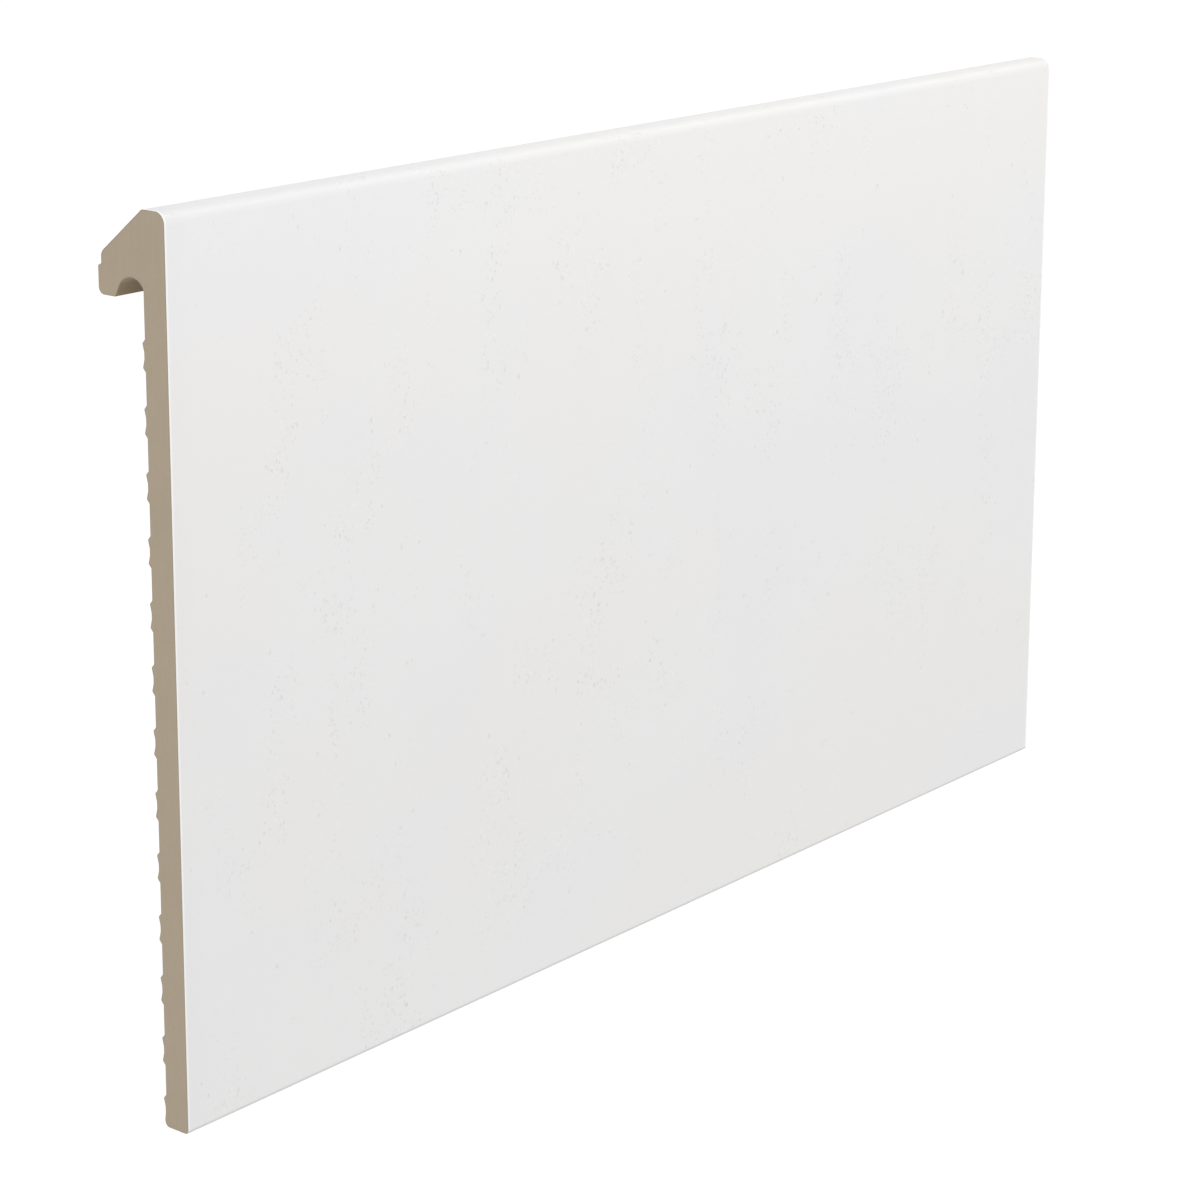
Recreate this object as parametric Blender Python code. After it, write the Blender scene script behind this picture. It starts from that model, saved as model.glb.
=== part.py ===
"""Short sample length of a straight cover skirting board.

A cover skirting board is glued over an old skirting. Its flat face stands in front of the old
board, and a hook along the top reaches back over it to the wall. Glue ribs run along the back.

Frame: metres, +Z up, +X along the length. The floor is z = 0, the front faces -Y, and the wall
touches the hook at +Y. The origin is the centre of the bottom of the box around the part.
"""

import math

import bmesh
import bpy
from mathutils import Vector

MM = 0.001

# Driving sizes. In the section, y is the distance behind the front face and z the height.
LENGTH = 250 * MM
HEIGHT = 150 * MM
DEPTH = 15 * MM
BOARD_THICKNESS = 5 * MM

# Front and top edges
FLOOR_FILLET = 0.75 * MM
TOP_FILLET = 2.0 * MM
RIDGE_Y = 4.9 * MM
RIDGE_RADIUS = 1.0 * MM

# Hook: a chamfer falls back from the ridge to the nose, and below the nose is the wall pad.
CHAMFER_SLOPE = 0.816
NOSE_Y = 14.26 * MM
NOSE_RADIUS = 1.6 * MM
SHOULDER_HEIGHT = 140.6 * MM
SHOULDER_DROP = 0.4 * MM
PAD_TOP_RADIUS = 0.2 * MM
HOOK_UNDERSIDE = 135.7 * MM
HOOK_FILLET = 1.2 * MM

# Round relief groove under the hook. Its rear flank runs straight down to the lip.
GROOVE_CENTRE = (7.7 * MM, 136.15 * MM)
GROOVE_RADIUS = 3.0 * MM
GROOVE_LIP_Y = 11.3 * MM
GROOVE_LIP_RADIUS = 0.2 * MM

# Glue ribs: each has two crests with a shallow trough between them. The half widths are
# measured from the rib's middle, and the rises from the back of the board.
RIB_COUNT = 13
RIB_PITCH = 10.36 * MM
FIRST_RIB_Z = 2.95 * MM
RIB_HALF_WIDTH = 2.6 * MM
CREST_HALF_SPAN = 1.94 * MM
CREST_RISE = 0.58 * MM
CREST_RADIUS = 0.2 * MM
TROUGH_HALF_WIDTH = 0.55 * MM
TROUGH_RISE = 0.23 * MM

# The lowest rib runs into the rounded bottom edge, so its lower crest is low and soft.
HEEL_CREST_RISE = 0.4 * MM
HEEL_CREST_Z = 1.05 * MM
HEEL_CREST_RADIUS = 0.5 * MM
HEEL_RISE = 0.15 * MM
HEEL_RADIUS = 0.9 * MM

# Primer coat, where it ends under the front edge, and the clearance between the two solids
COAT_THICKNESS = 0.3 * MM
COAT_EDGE_Y = 1.0 * MM
GAP = 0.3 * MM

ARC_STEP = math.radians(12)
SMOOTH_ANGLE = math.radians(30)

CORE_COLOUR = (0.39, 0.32, 0.24, 1.0)
CORE_ROUGHNESS = 0.75
COAT_COLOUR = (0.84, 0.83, 0.82, 1.0)
COAT_ROUGHNESS = 0.5


def clear_scene():
    """Removes every object, so that the file holds only this model."""
    for item in list(bpy.data.objects):
        bpy.data.objects.remove(item, do_unlink=True)


def arc(centre, radius, start, end):
    """Points on a circle from the angle start to the angle end, both included."""
    steps = max(2, math.ceil(abs(end - start) / ARC_STEP))
    angles = [start + (end - start) * i / steps for i in range(steps + 1)]
    return [(centre[0] + radius * math.cos(a), centre[1] + radius * math.sin(a)) for a in angles]


def fillet(before, corner, after, radius):
    """The arc that rounds a corner between its two neighbours."""
    arm_in = (Vector(before) - Vector(corner)).normalized()
    arm_out = (Vector(after) - Vector(corner)).normalized()
    half_angle = arm_in.angle(arm_out) / 2
    tangent_length = radius / math.tan(half_angle)
    to_centre = (arm_in + arm_out).normalized() * (radius / math.sin(half_angle))
    first = arm_in * tangent_length - to_centre
    last = arm_out * tangent_length - to_centre
    start = math.atan2(first.y, first.x)
    turn = math.remainder(math.atan2(last.y, last.x) - start, 2 * math.pi)
    return arc(Vector(corner) + to_centre, radius, start, start + turn)


def rounded(corners):
    """An open outline. Each corner is (y, z), or (y, z, radius) where it has a fillet."""
    points = []
    for i, corner in enumerate(corners):
        if len(corner) == 3:
            points += fillet(corners[i - 1][:2], corner[:2], corners[i + 1][:2], corner[2])
        else:
            points.append(corner)
    return points


def coated_side(inset, reach):
    """Corners of the coated side: under the front edge, up the face, over the top to the nose.

    inset moves the whole side inwards, and reach makes it longer at both ends.
    """
    slant = inset * math.hypot(1, CHAMFER_SLOPE)
    ridge_y = RIDGE_Y - (slant - inset) / CHAMFER_SLOPE
    nose_y = NOSE_Y - inset
    nose_z = HEIGHT - CHAMFER_SLOPE * (nose_y - RIDGE_Y) - slant
    return [
        (COAT_EDGE_Y + reach, inset),
        (inset, inset, FLOOR_FILLET - inset),
        (inset, HEIGHT - inset, TOP_FILLET - inset),
        (ridge_y, HEIGHT - inset, RIDGE_RADIUS - inset),
        (nose_y, nose_z, NOSE_RADIUS - inset),
        (nose_y, SHOULDER_HEIGHT + GAP - reach),
    ]


def wall_pad():
    """Corners from the shoulder under the nose, down the wall pad, to the groove's lip."""
    return [
        (NOSE_Y, SHOULDER_HEIGHT),
        (DEPTH, SHOULDER_HEIGHT - SHOULDER_DROP, PAD_TOP_RADIUS),
        (DEPTH, HOOK_UNDERSIDE, HOOK_FILLET),
        (GROOVE_LIP_Y, HOOK_UNDERSIDE, GROOVE_LIP_RADIUS),
    ]


def relief_groove():
    """Points over the groove, from the end of its straight rear flank to the board's back."""
    lip = Vector((GROOVE_LIP_Y, HOOK_UNDERSIDE)) - Vector(GROOVE_CENTRE)
    tangent_angle = math.atan2(lip.y, lip.x) + math.acos(GROOVE_RADIUS / lip.length)
    back_angle = math.pi - math.acos((GROOVE_CENTRE[0] - BOARD_THICKNESS) / GROOVE_RADIUS)
    return arc(GROOVE_CENTRE, GROOVE_RADIUS, tangent_angle, back_angle)


def rib(middle):
    """Corners of one glue rib, from its upper foot to its lower foot."""
    crest = BOARD_THICKNESS + CREST_RISE
    trough = BOARD_THICKNESS + TROUGH_RISE
    return [
        (BOARD_THICKNESS, middle + RIB_HALF_WIDTH),
        (crest, middle + CREST_HALF_SPAN, CREST_RADIUS),
        (trough, middle + TROUGH_HALF_WIDTH),
        (trough, middle - TROUGH_HALF_WIDTH),
        (crest, middle - CREST_HALF_SPAN, CREST_RADIUS),
        (BOARD_THICKNESS, middle - RIB_HALF_WIDTH),
    ]


def ribbed_back():
    """Corners down the back of the board, through every rib, to the rounded bottom edge."""
    corners = []
    for i in reversed(range(1, RIB_COUNT)):
        corners += rib(FIRST_RIB_Z + i * RIB_PITCH)
    corners += rib(FIRST_RIB_Z)[:4]
    corners.append((BOARD_THICKNESS + HEEL_CREST_RISE, HEEL_CREST_Z, HEEL_CREST_RADIUS))
    corners.append((BOARD_THICKNESS + HEEL_RISE, 0, HEEL_RADIUS))
    return corners


def core_outline():
    """The closed section of the extruded core, under its coat."""
    floor_edge = (COAT_EDGE_Y + GAP, 0)
    coated = coated_side(COAT_THICKNESS + GAP, GAP)
    bare = wall_pad() + relief_groove() + ribbed_back()
    return rounded([floor_edge] + coated + bare + [floor_edge])[:-1]


def coat_outline():
    """The closed section of the coat: its outer side, and its inner side on the way back."""
    outer = rounded(coated_side(0, 0))
    inner = rounded(coated_side(COAT_THICKNESS, 0))
    return outer + inner[::-1]


def make_material(name, colour, roughness):
    """A plain Principled material."""
    material = bpy.data.materials.new(name)
    material.use_nodes = True
    shader = material.node_tree.nodes["Principled BSDF"]
    shader.inputs["Base Color"].default_value = colour
    shader.inputs["Roughness"].default_value = roughness
    shader.inputs["Metallic"].default_value = 0.0
    return material


def extrude(name, outline, material):
    """One closed solid: the section, centred on the frame's axes and extruded along X."""
    work = bmesh.new()
    corners = [work.verts.new((-LENGTH / 2, y - DEPTH / 2, z)) for y, z in outline]
    section = work.faces.new(corners)
    sweep = bmesh.ops.extrude_face_region(work, geom=[section], use_keep_orig=True)
    moved = [item for item in sweep["geom"] if isinstance(item, bmesh.types.BMVert)]
    bmesh.ops.translate(work, verts=moved, vec=(LENGTH, 0, 0))
    bmesh.ops.recalc_face_normals(work, faces=work.faces)
    mesh = bpy.data.meshes.new(name)
    work.to_mesh(mesh)
    work.free()
    mesh.materials.append(material)
    mesh.shade_smooth()
    mesh.set_sharp_from_angle(angle=SMOOTH_ANGLE)
    piece = bpy.data.objects.new(name, mesh)
    bpy.context.scene.collection.objects.link(piece)
    return piece


def main():
    clear_scene()
    core_material = make_material("polymer_core", CORE_COLOUR, CORE_ROUGHNESS)
    coat_material = make_material("primer", COAT_COLOUR, COAT_ROUGHNESS)
    extrude("core_profile", core_outline(), core_material)
    extrude("primer_coat", coat_outline(), coat_material)


main()
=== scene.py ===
"""Looks of the cover skirting board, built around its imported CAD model.

Two pieces stand for the two CAD solids: foam_core, the extruded polymer with its two sawn ends,
and white_coat, the thin factory primer on its front, top and chamfer. The section repeats the CAD
model's sizes, with finer arcs, a real coat thickness and softened saw edges.

In the section, y is the distance behind the front face and z the height, both in metres.
"""

import math

import bmesh
import bpy
from mathutils import Matrix, Vector


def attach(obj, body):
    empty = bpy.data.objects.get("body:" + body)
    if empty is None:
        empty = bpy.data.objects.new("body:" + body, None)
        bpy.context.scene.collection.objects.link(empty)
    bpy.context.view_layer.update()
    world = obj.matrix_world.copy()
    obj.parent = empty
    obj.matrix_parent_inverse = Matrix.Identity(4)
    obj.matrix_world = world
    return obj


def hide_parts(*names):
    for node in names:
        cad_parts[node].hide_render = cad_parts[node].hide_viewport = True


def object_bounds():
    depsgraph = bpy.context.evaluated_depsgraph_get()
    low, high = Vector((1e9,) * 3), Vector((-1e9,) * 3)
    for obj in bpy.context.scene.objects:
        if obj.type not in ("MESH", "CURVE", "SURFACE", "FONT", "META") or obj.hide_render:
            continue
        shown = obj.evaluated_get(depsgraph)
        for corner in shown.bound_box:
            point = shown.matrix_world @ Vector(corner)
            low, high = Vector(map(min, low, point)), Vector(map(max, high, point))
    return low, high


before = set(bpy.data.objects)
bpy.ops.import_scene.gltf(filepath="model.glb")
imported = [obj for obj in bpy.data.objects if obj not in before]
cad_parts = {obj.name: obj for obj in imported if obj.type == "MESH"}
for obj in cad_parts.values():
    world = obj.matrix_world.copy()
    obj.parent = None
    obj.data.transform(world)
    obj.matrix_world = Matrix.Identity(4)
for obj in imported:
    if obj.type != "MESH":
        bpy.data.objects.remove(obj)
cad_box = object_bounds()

MM = 0.001

BOX_LOW, BOX_HIGH = cad_box
LENGTH = BOX_HIGH.x - BOX_LOW.x
DEPTH = BOX_HIGH.y - BOX_LOW.y
HEIGHT = BOX_HIGH.z - BOX_LOW.z

# Section, as in the CAD model
BOARD_THICKNESS = 5 * MM
FLOOR_FILLET = 0.75 * MM
TOP_FILLET = 2.0 * MM
RIDGE_Y = 4.9 * MM
RIDGE_RADIUS = 1.0 * MM
CHAMFER_SLOPE = 0.816
NOSE_Y = 14.26 * MM
NOSE_RADIUS = 1.6 * MM
SHOULDER_HEIGHT = 140.6 * MM
SHOULDER_DROP = 0.4 * MM
PAD_TOP_RADIUS = 0.2 * MM
HOOK_UNDERSIDE = 135.7 * MM
HOOK_FILLET = 1.2 * MM
GROOVE_CENTRE = (7.7 * MM, 136.15 * MM)
GROOVE_RADIUS = 3.0 * MM
GROOVE_LIP_Y = 11.3 * MM
GROOVE_LIP_RADIUS = 0.2 * MM
RIB_COUNT = 13
RIB_PITCH = 10.36 * MM
FIRST_RIB_Z = 2.95 * MM
RIB_HALF_WIDTH = 2.6 * MM
CREST_HALF_SPAN = 1.94 * MM
CREST_RISE = 0.58 * MM
CREST_RADIUS = 0.2 * MM
TROUGH_HALF_WIDTH = 0.55 * MM
TROUGH_RISE = 0.23 * MM
HEEL_CREST_RISE = 0.4 * MM
HEEL_CREST_Z = 1.05 * MM
HEEL_CREST_RADIUS = 0.5 * MM
HEEL_RISE = 0.15 * MM
HEEL_RADIUS = 0.9 * MM

# Finer than CAD: the real coat, its hairline to the core, and the softened edges of the saw cut
COAT_THICKNESS = 0.06 * MM
COAT_EDGE_Y = 1.0 * MM
HAIRLINE = 0.004 * MM
CUT_RADIUS = 0.05 * MM
COAT_CUT_RADIUS = 0.02 * MM
# Painted shade on the sawn core ends: the width of the darkened band along their edges, and its
# strength midway
EDGE_SHADE_WIDTH = 0.12 * MM
EDGE_SHADE_MIDWAY = 0.55
ARC_STEP = math.radians(5)
CUT_STEPS = 3
STATION_COUNT = 50
SMOOTH_ANGLE = math.radians(28)

# Camera: heading from +Y towards +X, elevation and roll in degrees, distance and aim in metres
CAMERA_HEADING = 50.734
CAMERA_ELEVATION = 13.469
CAMERA_ROLL = 0.229
CAMERA_DISTANCE = 0.6163
CAMERA_AIM = (-3.70 * MM, 6.89 * MM, 90.78 * MM)
CAMERA_LENS = 100.324
CAMERA_SHIFT_Y = -0.135

# Table, in metres, just under the part. Its own light is a radiance, where 1 shows as white.
FLOOR_RADIUS = 8.0
FLOOR_SEGMENTS = 96
FLOOR_CLEARANCE = 0.02 * MM
FLOOR_ALBEDO = 0.20
FLOOR_LIGHT = 0.89

# Walls: radiance below HORIZON_TOP and above CEILING_START, in degrees, and the gain behind the
# part, which is full where a direction's share along +Y is REAR_START or more
HORIZON_LIGHT = 1.0
CEILING_LIGHT = 0.66
HORIZON_TOP = 14
CEILING_START = 25
REAR_GAIN = 1.10
REAR_START = 0.4

# Strip softbox above and in front of the top edge, in metres and watts
KEY_LENGTH = 0.75
KEY_WIDTH = 0.08
KEY_POWER = 0.45
KEY_PLACE = (0.12, -0.095, 0.33)
KEY_AIM = (0.12, -0.0075, 0.10)


def arc(centre, radius, start, end):
    """Points on a circle from the angle start to the angle end, both included."""
    steps = max(2, math.ceil(abs(end - start) / ARC_STEP))
    angles = [start + (end - start) * i / steps for i in range(steps + 1)]
    return [(centre[0] + radius * math.cos(a), centre[1] + radius * math.sin(a)) for a in angles]


def fillet(before, corner, after, radius):
    """The arc that rounds a corner between its two neighbours."""
    arm_in = (Vector(before) - Vector(corner)).normalized()
    arm_out = (Vector(after) - Vector(corner)).normalized()
    half_angle = arm_in.angle(arm_out) / 2
    tangent_length = radius / math.tan(half_angle)
    to_centre = (arm_in + arm_out).normalized() * (radius / math.sin(half_angle))
    first = arm_in * tangent_length - to_centre
    last = arm_out * tangent_length - to_centre
    start = math.atan2(first.y, first.x)
    turn = math.remainder(math.atan2(last.y, last.x) - start, 2 * math.pi)
    return arc(Vector(corner) + to_centre, radius, start, start + turn)


def rounded(corners):
    """An open outline. Each corner is (y, z), or (y, z, radius) where it has a fillet."""
    points = []
    for i, corner in enumerate(corners):
        if len(corner) == 3:
            points += fillet(corners[i - 1][:2], corner[:2], corners[i + 1][:2], corner[2])
        else:
            points.append(corner)
    return points


def coated_side(inset, reach):
    """Corners of the coated side: under the front edge, up the face, over the top to the nose.

    inset moves the whole side inwards, and reach makes it longer at both ends.
    """
    slant = inset * math.hypot(1, CHAMFER_SLOPE)
    ridge_y = RIDGE_Y - (slant - inset) / CHAMFER_SLOPE
    nose_y = NOSE_Y - inset
    nose_z = HEIGHT - CHAMFER_SLOPE * (nose_y - RIDGE_Y) - slant
    return [
        (COAT_EDGE_Y + reach, inset),
        (inset, inset, FLOOR_FILLET - inset),
        (inset, HEIGHT - inset, TOP_FILLET - inset),
        (ridge_y, HEIGHT - inset, RIDGE_RADIUS - inset),
        (nose_y, nose_z, NOSE_RADIUS - inset),
        (nose_y, SHOULDER_HEIGHT + HAIRLINE - reach),
    ]


def wall_pad():
    """Corners from the shoulder under the nose, down the wall pad, to the groove's lip."""
    return [
        (NOSE_Y, SHOULDER_HEIGHT),
        (DEPTH, SHOULDER_HEIGHT - SHOULDER_DROP, PAD_TOP_RADIUS),
        (DEPTH, HOOK_UNDERSIDE, HOOK_FILLET),
        (GROOVE_LIP_Y, HOOK_UNDERSIDE, GROOVE_LIP_RADIUS),
    ]


def relief_groove():
    """Points over the groove, from the end of its straight rear flank to the board's back."""
    lip = Vector((GROOVE_LIP_Y, HOOK_UNDERSIDE)) - Vector(GROOVE_CENTRE)
    tangent_angle = math.atan2(lip.y, lip.x) + math.acos(GROOVE_RADIUS / lip.length)
    back_angle = math.pi - math.acos((GROOVE_CENTRE[0] - BOARD_THICKNESS) / GROOVE_RADIUS)
    return arc(GROOVE_CENTRE, GROOVE_RADIUS, tangent_angle, back_angle)


def rib(middle):
    """Corners of one glue rib, from its upper foot to its lower foot."""
    crest = BOARD_THICKNESS + CREST_RISE
    trough = BOARD_THICKNESS + TROUGH_RISE
    return [
        (BOARD_THICKNESS, middle + RIB_HALF_WIDTH),
        (crest, middle + CREST_HALF_SPAN, CREST_RADIUS),
        (trough, middle + TROUGH_HALF_WIDTH),
        (trough, middle - TROUGH_HALF_WIDTH),
        (crest, middle - CREST_HALF_SPAN, CREST_RADIUS),
        (BOARD_THICKNESS, middle - RIB_HALF_WIDTH),
    ]


def ribbed_back():
    """Corners down the back of the board, through every rib, to the rounded bottom edge."""
    corners = []
    for i in reversed(range(1, RIB_COUNT)):
        corners += rib(FIRST_RIB_Z + i * RIB_PITCH)
    corners += rib(FIRST_RIB_Z)[:4]
    corners.append((BOARD_THICKNESS + HEEL_CREST_RISE, HEEL_CREST_Z, HEEL_CREST_RADIUS))
    corners.append((BOARD_THICKNESS + HEEL_RISE, 0, HEEL_RADIUS))
    return corners


def core_outline():
    """The closed section of the foam core, under its coat."""
    floor_edge = (COAT_EDGE_Y + HAIRLINE, 0)
    coated = coated_side(COAT_THICKNESS + HAIRLINE, HAIRLINE)
    bare = wall_pad() + relief_groove() + ribbed_back()
    return rounded([floor_edge] + coated + bare + [floor_edge])[:-1]


def coat_outline():
    """The closed section of the coat: its outer side, and its inner side on the way back."""
    outer = rounded(coated_side(0, 0))
    inner = rounded(coated_side(COAT_THICKNESS, 0))
    return outer + inner[::-1]


def inset_outline(outline, distance):
    """The same outline moved inwards. The outline runs clockwise, so inwards is to the right."""
    moved = []
    for i, point in enumerate(outline):
        here = Vector(point)
        arm_in = (here - Vector(outline[i - 1])).normalized()
        arm_out = (Vector(outline[(i + 1) % len(outline)]) - here).normalized()
        normal_in = Vector((arm_in.y, -arm_in.x))
        normal_out = Vector((arm_out.y, -arm_out.x))
        mitre = (normal_in + normal_out) / (1 + normal_in.dot(normal_out))
        moved.append(here + mitre * distance)
    return moved


def cut_rings(radius, rim):
    """Rings of one sawn end as (distance in from the end, inset, shade), from its middle outwards.

    rim is how far the painted shade reaches in over the flat of the cut, and 0 is no rim. shade is 1
    on the edge of the cut and on the sides, and 0 in the middle of the cut.
    """
    rings = [(0, radius + rim, 0), (0, radius + rim / 2, EDGE_SHADE_MIDWAY)] if rim else []
    for i in range(CUT_STEPS + 1):
        angle = math.pi / 2 * i / CUT_STEPS
        rings.append((radius * (1 - math.cos(angle)), radius * (1 - math.sin(angle)), 1))
    return rings


def prism_faces(ring_count, count):
    """The near cap, the bands from ring to ring and the far cap. Each ring has count points."""
    faces = [list(range(count))]
    for ring in range(ring_count - 1):
        base = ring * count
        for i in range(count):
            j = (i + 1) % count
            faces.append([base + i, base + count + i, base + count + j, base + j])
    last = (ring_count - 1) * count
    faces.append([last + i for i in reversed(range(count))])
    return faces


def assign_materials(mesh, count, cut_bands):
    """The first material goes on both caps and the cut_bands next to each, the second elsewhere."""
    last_face = len(mesh.polygons) - 1
    band_count = (last_face - 1) // count
    for face in mesh.polygons:
        band = (face.index - 1) // count
        is_cap = face.index in (0, last_face)
        is_cut = is_cap or band < cut_bands or band >= band_count - cut_bands
        face.material_index = 0 if is_cut else 1


def extrude(name, outline, cut_radius, rim, end_material, side_material):
    """A closed prism along X whose two sawn ends have softened edges.

    Where there is a rim, the softened edge takes the side material, and otherwise the cut's.
    """
    end = cut_rings(cut_radius, rim)
    middle = [(LENGTH * i / STATION_COUNT, 0, 1) for i in range(1, STATION_COUNT)]
    far_end = [(LENGTH - along, inset, edge_shade) for along, inset, edge_shade in reversed(end)]
    rings = end + middle + far_end

    vertices = []
    edge_shades = []
    for along, inset, edge_shade in rings:
        for y, z in inset_outline(outline, inset):
            vertices.append((BOX_LOW.x + along, BOX_LOW.y + y, BOX_LOW.z + z))
            edge_shades.append(edge_shade)
    mesh = bpy.data.meshes.new(name)
    mesh.from_pydata(vertices, [], prism_faces(len(rings), len(outline)))
    mesh.materials.append(end_material)
    mesh.materials.append(side_material)
    assign_materials(mesh, len(outline), len(end) - 1 - (CUT_STEPS if rim else 0))
    # Painted shade: how dark each point of a sawn end is painted, 1 at its edges
    attribute = mesh.attributes.new("edge_shade", "FLOAT", "POINT")
    attribute.data.foreach_set("value", edge_shades)

    work = bmesh.new()
    work.from_mesh(mesh)
    bmesh.ops.recalc_face_normals(work, faces=work.faces)
    work.to_mesh(mesh)
    work.free()
    mesh.shade_smooth()
    mesh.set_sharp_from_angle(angle=SMOOTH_ANGLE)
    piece = bpy.data.objects.new(name, mesh)
    bpy.context.scene.collection.objects.link(piece)
    return piece


def rgb(red, green, blue):
    """An opaque colour in linear light."""
    return (red, green, blue, 1.0)


def feed(tree, socket, value):
    """Links a node's output to a socket, or sets a plain value on it."""
    if isinstance(value, bpy.types.NodeSocket):
        tree.links.new(value, socket)
    else:
        socket.default_value = value


def smooth_step(tree, value, low, high, to_low, to_high):
    """value, mapped smoothly from low..high to to_low..to_high."""
    node = tree.nodes.new("ShaderNodeMapRange")
    node.interpolation_type = "SMOOTHSTEP"
    feed(tree, node.inputs["Value"], value)
    feed(tree, node.inputs["From Min"], low)
    feed(tree, node.inputs["From Max"], high)
    feed(tree, node.inputs["To Min"], to_low)
    feed(tree, node.inputs["To Max"], to_high)
    return node.outputs["Result"]


def maths(tree, operation, first, second=0.0):
    """One Math node. An operation on a single number leaves second out."""
    node = tree.nodes.new("ShaderNodeMath")
    node.operation = operation
    feed(tree, node.inputs[0], first)
    feed(tree, node.inputs[1], second)
    return node.outputs[0]


class Graph:
    """Short calls for building one material's nodes. Lengths in its patterns are millimetres."""

    def __init__(self, name):
        self.material = bpy.data.materials.new(name)
        self.material.use_nodes = True
        self.tree = self.material.node_tree
        self.shader = self.tree.nodes["Principled BSDF"]
        place = self.tree.nodes.new("ShaderNodeTexCoord")
        to_mm = self.tree.nodes.new("ShaderNodeVectorMath")
        to_mm.operation = "SCALE"
        to_mm.inputs["Scale"].default_value = 1 / MM
        self.tree.links.new(place.outputs["Object"], to_mm.inputs[0])
        self.place = to_mm.outputs[0]
        axes = self.tree.nodes.new("ShaderNodeSeparateXYZ")
        self.tree.links.new(self.place, axes.inputs[0])
        self.along = axes.outputs["X"]
        self.back = axes.outputs["Y"]
        self.up = axes.outputs["Z"]

    def feed(self, socket, value):
        """Links a node's output to a socket, or sets a plain value on it."""
        feed(self.tree, socket, value)

    def between(self, value, low, high, to_low=0.0, to_high=1.0):
        """value, mapped smoothly from low..high to to_low..to_high."""
        return smooth_step(self.tree, value, low, high, to_low, to_high)

    def maths(self, operation, first, second=0.0):
        """One Math node. An operation on a single number leaves second out."""
        return maths(self.tree, operation, first, second)

    def times(self, first, second):
        """The product of two numbers."""
        return self.maths("MULTIPLY", first, second)

    def blend(self, *parts):
        """The sum of patterns, each given as (pattern, share)."""
        total = 0.0
        for pattern, share in parts:
            total = self.maths("ADD", total, self.times(pattern, share))
        return total

    def stretched(self, scale, offset):
        """The place, scaled along each axis and moved, so that patterns differ."""
        node = self.tree.nodes.new("ShaderNodeMapping")
        self.feed(node.inputs["Vector"], self.place)
        node.inputs["Scale"].default_value = scale
        node.inputs["Location"].default_value = offset
        return node.outputs[0]

    def noise(self, size, detail=3.0, roughness=0.5, scale=(1, 1, 1), offset=(0, 0, 0)):
        """Soft noise whose features are about size wide."""
        node = self.tree.nodes.new("ShaderNodeTexNoise")
        self.feed(node.inputs["Vector"], self.stretched(scale, offset))
        node.inputs["Scale"].default_value = 1 / size
        node.inputs["Detail"].default_value = detail
        node.inputs["Roughness"].default_value = roughness
        return node.outputs["Fac"]

    def warped(self, reach, scale, offset):
        """The stretched place, pushed about by up to reach, so that round shapes turn ragged."""
        push = self.tree.nodes.new("ShaderNodeTexNoise")
        self.feed(push.inputs["Vector"], self.place)
        push.inputs["Scale"].default_value = 1 / (reach * 1.5)
        push.inputs["Detail"].default_value = 2.0
        node = self.tree.nodes.new("ShaderNodeVectorMath")
        node.operation = "MULTIPLY_ADD"
        self.feed(node.inputs[0], push.outputs["Color"])
        node.inputs[1].default_value = (reach, reach, reach)
        self.feed(node.inputs[2], self.stretched(scale, offset))
        return node.outputs[0]

    def cells(self, size, scale=(1, 1, 1), offset=(0, 0, 0), ragged=0.0):
        """Cells about size wide, as the distance to each one's point and its random colour."""
        node = self.tree.nodes.new("ShaderNodeTexVoronoi")
        place = self.warped(ragged, scale, offset) if ragged else self.stretched(scale, offset)
        self.feed(node.inputs["Vector"], place)
        node.inputs["Scale"].default_value = 1 / size
        return node.outputs["Distance"], node.outputs["Color"]

    def spots(self, cells, share, radius):
        """Scattered spots. share of the cells hold one, up to radius (in cell widths) wide."""
        distance, colour = cells
        width = self.between(self.channel(colour, "Red"), 0.0, share, radius, 0.0)
        core = self.times(width, 0.45)
        return self.between(distance, core, width, 1.0, 0.0)

    def channel(self, colour, which):
        """One channel of a colour."""
        node = self.tree.nodes.new("ShaderNodeSeparateColor")
        self.feed(node.inputs[0], colour)
        return node.outputs[which]

    def mix(self, amount, first, second):
        """A colour between first and second."""
        node = self.tree.nodes.new("ShaderNodeMix")
        node.data_type = "RGBA"
        self.feed(node.inputs["Factor"], amount)
        self.feed(node.inputs["A"], first)
        self.feed(node.inputs["B"], second)
        return node.outputs["Result"]

    def paint(self, colour, mask, strength, cover):
        """colour, with cover laid over it by strength where mask is 1."""
        return self.mix(self.times(mask, strength), colour, cover)

    def attribute(self, name):
        """A number that the mesh stores at its points."""
        node = self.tree.nodes.new("ShaderNodeAttribute")
        node.attribute_name = name
        return node.outputs["Fac"]

    def bump(self, height, depth, normal=None):
        """A normal bent by a height pattern that is depth deep, on top of another normal."""
        node = self.tree.nodes.new("ShaderNodeBump")
        self.feed(node.inputs["Height"], height)
        node.inputs["Distance"].default_value = depth * MM
        node.inputs["Strength"].default_value = 1.0
        if normal is not None:
            self.feed(node.inputs["Normal"], normal)
        return node.outputs[0]

    def finish(self, colour, roughness, normal, specular):
        """Connects the surface and gives back the finished material."""
        self.feed(self.shader.inputs["Base Color"], colour)
        self.feed(self.shader.inputs["Roughness"], roughness)
        self.feed(self.shader.inputs["Normal"], normal)
        self.shader.inputs["Specular IOR Level"].default_value = specular
        return self.material


def primer_clouds(graph):
    """The primer's ground colour: nearly neutral, with faint violet and ochre clouds."""
    neutral = rgb(0.770, 0.769, 0.767)
    violet = rgb(0.771, 0.761, 0.766)
    ochre = rgb(0.773, 0.765, 0.751)
    violet_cloud = graph.noise(60, scale=(1, 1, 1.6), offset=(13, 5, 31))
    ochre_cloud = graph.noise(75, scale=(1, 1, 1.4), offset=(71, 9, 3))
    colour = graph.mix(graph.between(violet_cloud, 0.45, 0.62), neutral, violet)
    return graph.mix(graph.between(ochre_cloud, 0.44, 0.60), colour, ochre)


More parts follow.
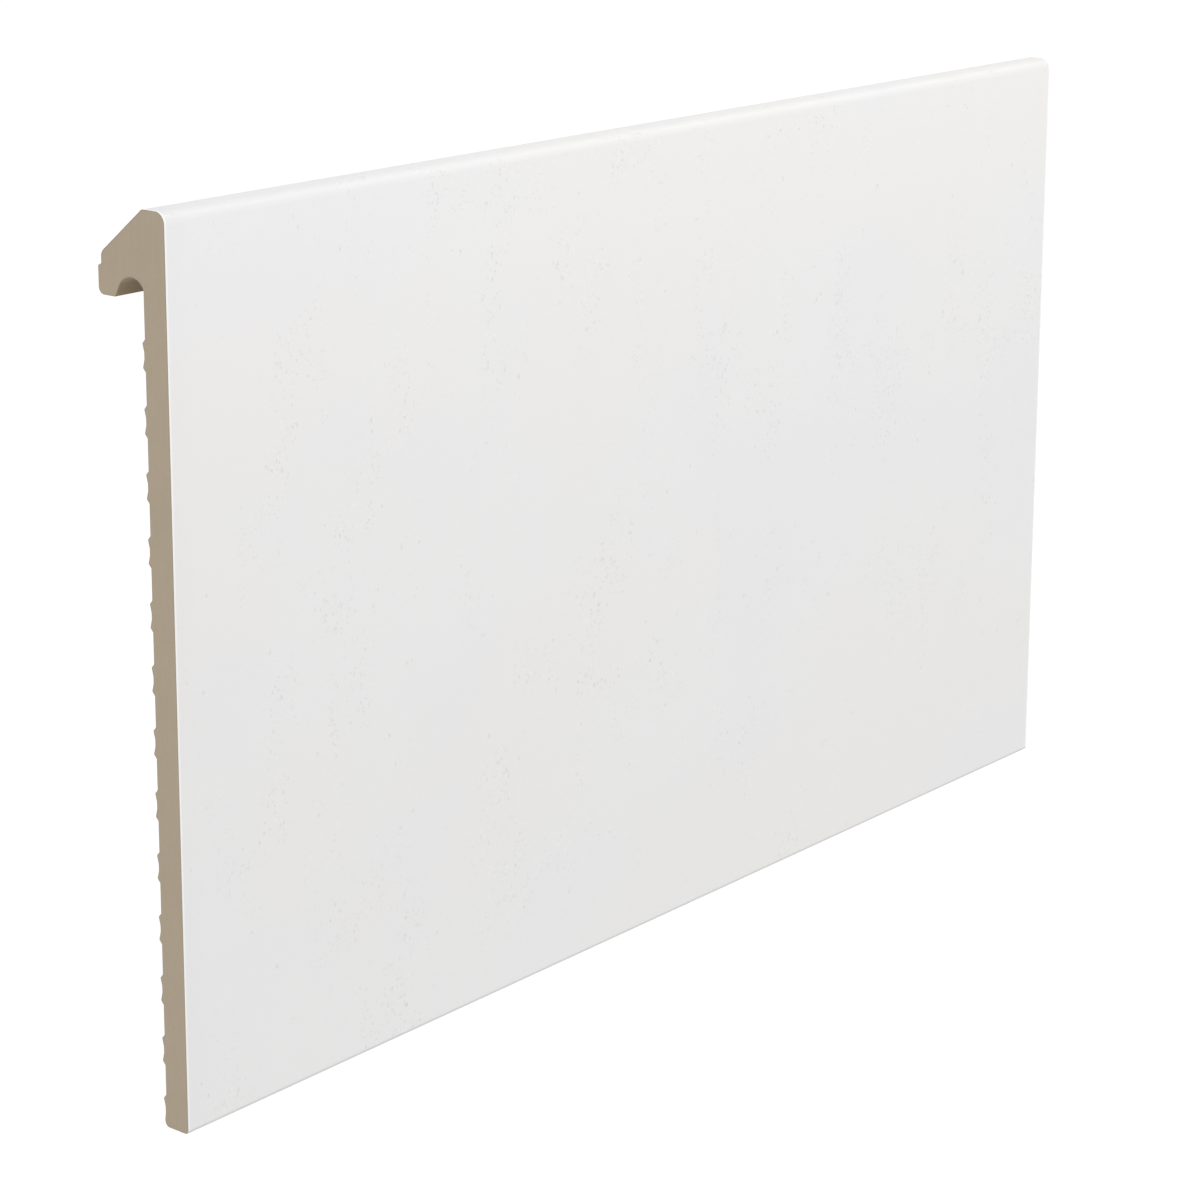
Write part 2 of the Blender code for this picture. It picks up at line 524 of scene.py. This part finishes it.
def primer_crowd(graph):
    """1 where pits crowd together, in upright clusters inside wide regions."""
    region_noise = graph.noise(45, detail=2.0, scale=(1, 1, 0.7), offset=(7, 2, 55))
    cluster_noise = graph.noise(13, 4.0, 0.65, scale=(1, 1, 0.5), offset=(3, 8, 21))
    region = graph.between(region_noise, 0.38, 0.56)
    cluster = graph.between(cluster_noise, 0.46, 0.62)
    return graph.times(region, cluster)


def pit_tint(graph, cells, low, high):
    """Grey in some of the cells and ochre in the others."""
    grey = rgb(0.60, 0.60, 0.59)
    ochre = rgb(0.64, 0.59, 0.48)
    chance = graph.channel(cells[1], "Green")
    return graph.mix(graph.between(chance, low, high), grey, ochre)


def primer_material():
    """White primer: tinted clouds, crowds of tiny pits, stray specks, a lighter band at each sawn end
    and painted shade along its foot.
    """
    graph = Graph("primer")
    colour = primer_clouds(graph)

    crowd = primer_crowd(graph)
    lone = graph.between(graph.noise(5, detail=2.0, offset=(9, 1, 77)), 0.60, 0.66)
    upright = (1.0, 1.0, 0.75)
    pit_cells = graph.cells(1.15, upright, (3, 0, 8), ragged=0.7)
    fine_cells = graph.cells(0.62, upright, (19, 0, 27), ragged=0.4)
    pale_cells = graph.cells(0.95, upright, (41, 0, 13), ragged=0.6)
    rust_cells = graph.cells(11.0, upright, (5, 0, 61), ragged=0.9)
    pits = graph.times(graph.spots(pit_cells, 0.75, 0.36), graph.maths("MAXIMUM", crowd, lone))
    fine_pits = graph.times(graph.spots(fine_cells, 0.70, 0.48), crowd)
    pale = graph.times(graph.spots(pale_cells, 0.60, 0.38), crowd)
    rust = graph.spots(rust_cells, 0.12, 0.075)
    colour = graph.paint(colour, fine_pits, 0.30, pit_tint(graph, fine_cells, 0.40, 0.60))
    colour = graph.paint(colour, pits, 0.38, pit_tint(graph, pit_cells, 0.42, 0.58))
    colour = graph.paint(colour, pale, 0.50, rgb(0.835, 0.835, 0.83))
    colour = graph.paint(colour, rust, 0.26, rgb(0.60, 0.48, 0.42))

    half_length = LENGTH / 2 / MM
    from_middle = graph.maths("ABSOLUTE", graph.along)
    cut_edge = graph.between(from_middle, half_length - 0.5, half_length - 0.2)
    # Painted shade: the primer turns grey over its lowest millimetre, where the bottom fillet faces
    # the floor.
    painted_foot_shade = graph.between(graph.up, 0.25, 0.95, 1.0, 0.0)
    colour = graph.paint(colour, cut_edge, 0.8, rgb(0.90, 0.90, 0.89))
    colour = graph.paint(colour, painted_foot_shade, 0.9, rgb(0.51, 0.505, 0.50))

    all_pits = graph.maths("ADD", pits, fine_pits)
    dents = graph.maths("SUBTRACT", graph.times(pale, 0.6), all_pits)
    normal = graph.bump(graph.noise(1.6, detail=2.0), 0.004)
    normal = graph.bump(graph.noise(0.35, 2.0, 0.6), 0.001, normal)
    normal = graph.bump(dents, 0.045, normal)
    sheen_noise = graph.noise(3.0, 3.0, 0.6, offset=(9, 9, 9))
    roughness = graph.between(sheen_noise, 0.3, 0.7, 0.42, 0.50)
    return graph.finish(colour, roughness, normal, 0.45)


def foam_cut_material():
    """Sawn foam: fine grain, small pores, faint upright saw marks, and painted shade darkening it
    along its edges.
    """
    graph = Graph("foam_cut")
    light = rgb(0.407, 0.338, 0.251)
    dark = rgb(0.382, 0.316, 0.234)
    streak = graph.noise(0.45, 3.0, 0.6, scale=(1, 1, 0.05), offset=(2, 4, 6))
    grain = graph.noise(0.28, 4.0, 0.7)
    blotch = graph.noise(5.0, scale=(1, 1, 0.6), offset=(8, 1, 4))
    pores = graph.spots(graph.cells(0.32, (1, 1, 0.8), (1, 2, 3)), 0.5, 0.5)
    flecks = graph.spots(graph.cells(1.1, (1, 1, 0.8), (6, 2, 9)), 0.3, 0.3)
    tone = graph.blend((streak, 0.22), (grain, 0.58), (blotch, 0.20))
    colour = graph.mix(graph.between(tone, 0.38, 0.62), dark, light)
    colour = graph.paint(colour, pores, 0.22, rgb(0.29, 0.235, 0.165))
    colour = graph.paint(colour, flecks, 0.25, rgb(0.47, 0.40, 0.30))
    # Painted shade: the sawn end darkens in a thin band along its edges
    colour = graph.paint(colour, graph.attribute("edge_shade"), 0.85, rgb(0.325, 0.262, 0.182))

    normal = graph.bump(grain, 0.03)
    normal = graph.bump(streak, 0.03, normal)
    normal = graph.bump(graph.times(pores, -1.0), 0.03, normal)
    roughness = graph.between(grain, 0.3, 0.7, 0.72, 0.88)
    return graph.finish(colour, roughness, normal, 0.3)


def foam_skin_material():
    """The core's outer surface, as it leaves the die: richer brown, with fine die lines along X."""
    graph = Graph("foam_skin")
    light = rgb(0.322, 0.254, 0.174)
    dark = rgb(0.293, 0.229, 0.154)
    lines = graph.noise(0.35, 3.0, 0.6, scale=(0.01, 1, 1), offset=(4, 7, 2))
    mottle = graph.noise(2.2, 4.0, 0.65, scale=(0.7, 1, 1), offset=(1, 5, 3))
    blotch = graph.noise(28, detail=2.0, scale=(0.8, 1, 1), offset=(6, 2, 8))
    specks = graph.spots(graph.cells(1.3, (0.8, 1, 1), (3, 3, 3), ragged=0.4), 0.3, 0.22)
    flecks = graph.spots(graph.cells(1.7, (0.8, 1, 1), (8, 3, 1), ragged=0.4), 0.25, 0.20)
    tone = graph.blend((lines, 0.35), (mottle, 0.40), (blotch, 0.25))
    colour = graph.mix(graph.between(tone, 0.38, 0.62), dark, light)
    colour = graph.paint(colour, specks, 0.30, rgb(0.24, 0.185, 0.12))
    colour = graph.paint(colour, flecks, 0.25, rgb(0.44, 0.37, 0.28))

    normal = graph.bump(lines, 0.012)
    normal = graph.bump(graph.noise(0.5, 3.0, 0.6), 0.006, normal)
    normal = graph.bump(graph.times(specks, -1.0), 0.03, normal)
    roughness = graph.between(mottle, 0.3, 0.7, 0.50, 0.64)
    return graph.finish(colour, roughness, normal, 0.35)


def coat_cut_material():
    """The sawn edge of the coat: clean at the front, and full of foam dust from the ridge back."""
    graph = Graph("primer_cut")
    grain = graph.noise(0.2, 2.0, 0.6)
    clean = graph.mix(grain, rgb(0.76, 0.755, 0.745), rgb(0.81, 0.805, 0.80))
    ridge = (BOX_LOW.y + RIDGE_Y) / MM
    dust = graph.between(graph.back, ridge - 0.4, ridge + 0.2)
    colour = graph.paint(clean, dust, 0.95, rgb(0.36, 0.295, 0.21))
    return graph.finish(colour, 0.6, graph.bump(grain, 0.004), 0.4)


def build_camera():
    """The camera, which looks down a little at the front and the near sawn end."""
    heading = math.radians(CAMERA_HEADING)
    elevation = math.radians(CAMERA_ELEVATION)
    level = math.cos(elevation)
    view = Vector((math.sin(heading) * level, math.cos(heading) * level, -math.sin(elevation)))
    camera = bpy.data.objects.new("camera", bpy.data.cameras.new("camera"))
    camera.data.lens = CAMERA_LENS
    camera.data.shift_y = CAMERA_SHIFT_Y
    camera.location = Vector(CAMERA_AIM) - view * CAMERA_DISTANCE
    camera.rotation_mode = "QUATERNION"
    roll = Matrix.Rotation(math.radians(CAMERA_ROLL), 3, "Z").to_quaternion()
    camera.rotation_quaternion = view.to_track_quat("-Z", "Y") @ roll
    bpy.context.scene.collection.objects.link(camera)
    bpy.context.scene.camera = camera


def build_floor():
    """A white lit table, like the one a product stands on in a studio."""
    mesh = bpy.data.meshes.new("floor")
    work = bmesh.new()
    bmesh.ops.create_circle(work, cap_ends=True, segments=FLOOR_SEGMENTS, radius=FLOOR_RADIUS)
    work.to_mesh(mesh)
    work.free()
    floor = bpy.data.objects.new("floor", mesh)
    floor.location = (0, 0, BOX_LOW.z - FLOOR_CLEARANCE)
    material = bpy.data.materials.new("lit_table")
    material.use_nodes = True
    shader = material.node_tree.nodes["Principled BSDF"]
    shader.inputs["Base Color"].default_value = rgb(FLOOR_ALBEDO, FLOOR_ALBEDO, FLOOR_ALBEDO)
    shader.inputs["Roughness"].default_value = 0.9
    shader.inputs["Specular IOR Level"].default_value = 0.0
    shader.inputs["Emission Color"].default_value = rgb(1.0, 1.0, 1.0)
    shader.inputs["Emission Strength"].default_value = FLOOR_LIGHT
    mesh.materials.append(material)
    bpy.context.scene.collection.objects.link(floor)


def build_world():
    """White studio walls: brightest near the horizon and behind the part, dimmer overhead."""
    world = bpy.data.worlds.new("studio")
    world.use_nodes = True
    tree = world.node_tree
    direction = tree.nodes.new("ShaderNodeTexCoord")
    axes = tree.nodes.new("ShaderNodeSeparateXYZ")
    tree.links.new(direction.outputs["Generated"], axes.inputs[0])
    low = math.sin(math.radians(HORIZON_TOP))
    high = math.sin(math.radians(CEILING_START))
    walls = smooth_step(tree, axes.outputs["Z"], low, high, HORIZON_LIGHT, CEILING_LIGHT)
    rear = smooth_step(tree, axes.outputs["Y"], 0.0, REAR_START, 1.0, REAR_GAIN)
    background = tree.nodes["Background"]
    background.inputs["Color"].default_value = rgb(1.0, 1.0, 1.0)
    feed(tree, background.inputs["Strength"], maths(tree, "MULTIPLY", walls, rear))
    bpy.context.scene.world = world


def soft_box(name, length, width, power, location, target):
    """A softbox at location that faces target. Its length lies level."""
    lamp = bpy.data.lights.new(name, "AREA")
    lamp.shape = "RECTANGLE"
    lamp.size = length
    lamp.size_y = width
    lamp.energy = power
    lamp_object = bpy.data.objects.new(name, lamp)
    lamp_object.location = location
    lamp_object.rotation_mode = "QUATERNION"
    aim = Vector(target) - Vector(location)
    lamp_object.rotation_quaternion = aim.to_track_quat("-Z", "Y")
    bpy.context.scene.collection.objects.link(lamp_object)


def show_plain_colours():
    """Colours go to the picture as they are, with no film look."""
    view_settings = bpy.context.scene.view_settings
    view_settings.view_transform = "Standard"
    view_settings.look = "None"
    view_settings.exposure = 0.0
    view_settings.gamma = 1.0


def main():
    foam_core = extrude(
        "foam_core", core_outline(), CUT_RADIUS, EDGE_SHADE_WIDTH, foam_cut_material(), foam_skin_material()
    )
    white_coat = extrude(
        "white_coat", coat_outline(), COAT_CUT_RADIUS, 0, coat_cut_material(), primer_material()
    )
    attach(foam_core, "root")
    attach(white_coat, "root")
    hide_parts("core_profile")
    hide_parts("primer_coat")

    build_camera()
    build_floor()
    build_world()
    soft_box("key", KEY_LENGTH, KEY_WIDTH, KEY_POWER, KEY_PLACE, KEY_AIM)
    show_plain_colours()


main()
